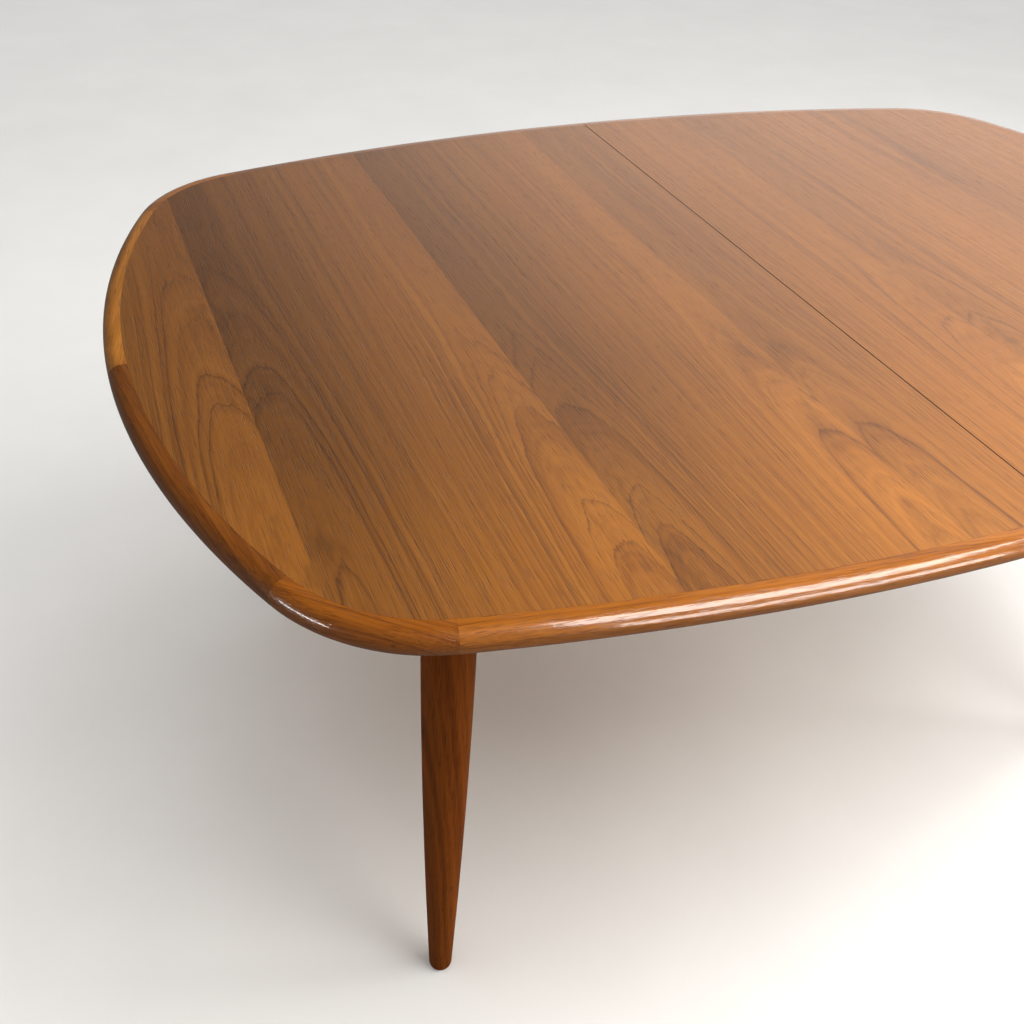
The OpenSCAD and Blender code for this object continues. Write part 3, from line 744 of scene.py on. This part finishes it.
# Colour of the floor to the camera, to diffuse light and to the gloss
PALE = (0.74, 0.735, 0.72)
FLOOR_BOUNCE = (0.28, 0.262, 0.232)
FLOOR_GLOSS = (0.10, 0.095, 0.085)
# Colour of the surroundings as light and as seen by the camera
ROOM_SHADE = (1.0, 0.985, 0.96)
SEEN_SHADE = (0.90, 0.895, 0.885)
# Strength of the room's diffuse light, and of what the gloss sees: it grows from the first value
# of ROOM_GLOSS to the second as the direction turns to BRIGHT_TOWARDS, but not past the limit
ROOM_FILL = 0.14
ROOM_GLOSS = (0.08, 3.80)
ROOM_GLOSS_LIMIT = 1.3
BRIGHT_TOWARDS = (0.812, 0.481, -0.332)
BRIGHT_RANGE = (0.246, 1.47)
FLOOR_SUN = 2.3
SUN_SPREAD = math.radians(70)
WARM_WHITE = (1.0, 0.975, 0.94)


def studio_floor():
    """Wide pale disc, which is clear from below."""
    bm = bmesh.new()
    bmesh.ops.create_circle(bm, cap_ends=True, radius=FLOOR_RADIUS, segments=64)
    mesh = bpy.data.meshes.new("floor")
    bm.to_mesh(mesh)
    bm.free()
    floor = bpy.data.objects.new("floor", mesh)
    floor.location.z = FLOOR_Z
    bpy.context.scene.collection.objects.link(floor)
    g = Graph("pale_floor")
    mottle = g.noise(g.vector(g.times(g.x, 3), g.times(g.y, 3), 0.0), 5, 0.6)
    shade = g.ramp(mottle, (0.3, tuple(c * 0.95 for c in PALE)), (0.7, PALE))
    # It looks pale but throws little light up at the table, as a worn workshop floor does
    path = g.add("ShaderNodeLightPath")
    bounced = g.blend(path.outputs["Is Glossy Ray"], colour(FLOOR_BOUNCE), colour(FLOOR_GLOSS))
    shade = g.blend(path.outputs["Is Camera Ray"], bounced, shade)
    material = g.finish(shade, 0.8, specular_ior_level=0.2)
    # From below it is clear, so that the underside of the table can be looked at
    output = next(node for node in g.nodes if node.type == "OUTPUT_MATERIAL")
    mix = g.add("ShaderNodeMixShader")
    g.links.new(g.add("ShaderNodeNewGeometry").outputs["Backfacing"], mix.inputs[0])
    g.links.new(output.inputs[0].links[0].from_socket, mix.inputs[1])
    g.links.new(g.add("ShaderNodeBsdfTransparent").outputs[0], mix.inputs[2])
    g.links.new(mix.outputs[0], output.inputs[0])
    mesh.materials.append(material)
    floor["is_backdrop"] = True
    return floor


def studio_world():
    """Even pale surroundings. The gloss sees a room whose far right is the brightest."""
    world = bpy.data.worlds.new("studio")
    bpy.context.scene.world = world
    world.use_nodes = True
    nodes, links = world.node_tree.nodes, world.node_tree.links
    nodes.clear()

    def background(shade, strength):
        node = nodes.new("ShaderNodeBackground")
        node.inputs[0].default_value = colour(shade)
        if isinstance(strength, bpy.types.NodeSocket):
            links.new(strength, node.inputs[1])
        else:
            node.inputs[1].default_value = strength
        return node.outputs[0]

    def either(share, first, second):
        node = nodes.new("ShaderNodeMixShader")
        for socket, value in zip(node.inputs, (share, first, second)):
            links.new(value, socket)
        return node.outputs[0]

    coords = nodes.new("ShaderNodeTexCoord")
    towards = nodes.new("ShaderNodeVectorMath")
    towards.operation = "DOT_PRODUCT"
    towards.inputs[1].default_value = BRIGHT_TOWARDS
    links.new(coords.outputs["Generated"], towards.inputs[0])
    spread = nodes.new("ShaderNodeMapRange")
    spread.interpolation_type = "SMOOTHSTEP"
    links.new(towards.outputs["Value"], spread.inputs[0])
    for socket, value in zip(spread.inputs[1:5], (*BRIGHT_RANGE, *ROOM_GLOSS)):
        socket.default_value = value
    limit = nodes.new("ShaderNodeMath")
    limit.operation = "MINIMUM"
    links.new(spread.outputs[0], limit.inputs[0])
    limit.inputs[1].default_value = ROOM_GLOSS_LIMIT
    gloss = background(ROOM_SHADE, limit.outputs[0])
    fill = background(ROOM_SHADE, ROOM_FILL)
    seen = background(SEEN_SHADE, 1.0)
    path = nodes.new("ShaderNodeLightPath")
    output = nodes.new("ShaderNodeOutputWorld")
    light = either(path.outputs["Is Glossy Ray"], fill, gloss)
    links.new(either(path.outputs["Is Camera Ray"], light, seen), output.inputs[0])


def lit_only(lamp, pieces):
    """Limits a light to some pieces by light linking."""
    receivers = bpy.data.collections.new(f"{lamp.name}_receivers")
    for piece in pieces:
        receivers.objects.link(piece)
    lamp.light_linking.receiver_collection = receivers


def soft_box(name, place, aim, width, height, power, diffuse=True, gloss=True, only=None):
    """A large rectangular light that shines towards aim, on all or only on the given pieces."""
    data = bpy.data.lights.new(name, "AREA")
    data.shape = "RECTANGLE"
    data.size, data.size_y = width, height
    data.energy = power
    data.color = WARM_WHITE
    lamp = bpy.data.objects.new(name, data)
    bpy.context.scene.collection.objects.link(lamp)
    lamp.location = place
    lamp.rotation_euler = Vector(aim).to_track_quat("-Z", "Y").to_euler()
    lamp.visible_camera = False
    lamp.visible_diffuse = diffuse
    lamp.visible_glossy = gloss
    if only:
        lit_only(lamp, only)


def floor_sun(floor):
    """Very soft overhead light that only the floor receives, so that it stays pale."""
    data = bpy.data.lights.new("floor_sun", "SUN")
    data.energy = FLOOR_SUN
    data.angle = SUN_SPREAD
    lamp = bpy.data.objects.new("floor_sun", data)
    bpy.context.scene.collection.objects.link(lamp)
    lit_only(lamp, [floor])


floor_sun(studio_floor())
studio_world()
# Each soft box: name, place, direction, width, height and power in watts. The two strips stand
# for the bright openings that the photo's rim reflects
soft_box("skylight", (0.56, -1.22, 2.40), (0, 0, -1), 1.20, 2.20, 66, gloss=False)
soft_box("skylight_gleam", (0.66, -1.80, 2.36), (0, 0, -1), 1.80, 1.60, 125, diffuse=False)
soft_box("left_wall", (-2.40, 0.20, 1.35), (0.95, 0, -0.30), 1.5, 1.0, 4, gloss=False)
soft_box("right_low", (2.20, -1.60, 0.95), (-0.8, 0.4, -0.12), 1.2, 0.8, 13, gloss=False)
soft_box("under_fill", (0, 0, 0.03), (0, 0, 1), 1.0, 0.6, 4.0, gloss=False)
soft_box("left_strip", (-2.30, -0.60, 0.81), (1, 0.15, 0), 0.90, 0.22, 10, diffuse=False, only=rim)
soft_box("low_strip", (0.565, -2.20, 0.80), (0, 1, 0), 1.57, 0.62, 34, diffuse=False, only=rim)
soft_box("right_wall", (2.60, -0.70, 2.00), (-0.8, 0.2, -0.55), 1.6, 1.2, 54, gloss=False)

# ---------------------------------------------------------------- camera
CAMERA_PLACE = Vector((-0.7768, -0.9641, 1.2982))
YAW, PITCH, ROLL = math.radians(25.49), math.radians(39.62), math.radians(4.257)
LENS_MM = 36.67
SENSOR_MM = 36.0


def photo_camera():
    """Looks down at the table from the near left, a little rolled, as a person holds a camera."""
    forward = Vector((math.sin(YAW) * math.cos(PITCH), math.cos(YAW) * math.cos(PITCH),
                      -math.sin(PITCH)))
    level = Vector((math.cos(YAW), -math.sin(YAW), 0))
    above = level.cross(forward)
    right = level * math.cos(ROLL) + above * math.sin(ROLL)
    up = above * math.cos(ROLL) - level * math.sin(ROLL)
    data = bpy.data.cameras.new("camera")
    data.lens, data.sensor_width = LENS_MM, SENSOR_MM
    camera = bpy.data.objects.new("camera", data)
    bpy.context.scene.collection.objects.link(camera)
    turn = Matrix((right, up, -forward)).transposed()
    camera.matrix_world = Matrix.Translation(CAMERA_PLACE) @ turn.to_4x4()
    bpy.context.scene.camera = camera


photo_camera()
bpy.context.scene.view_settings.view_transform = "Standard"

# ---------------------------------------------------------------- hand over
low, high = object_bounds()
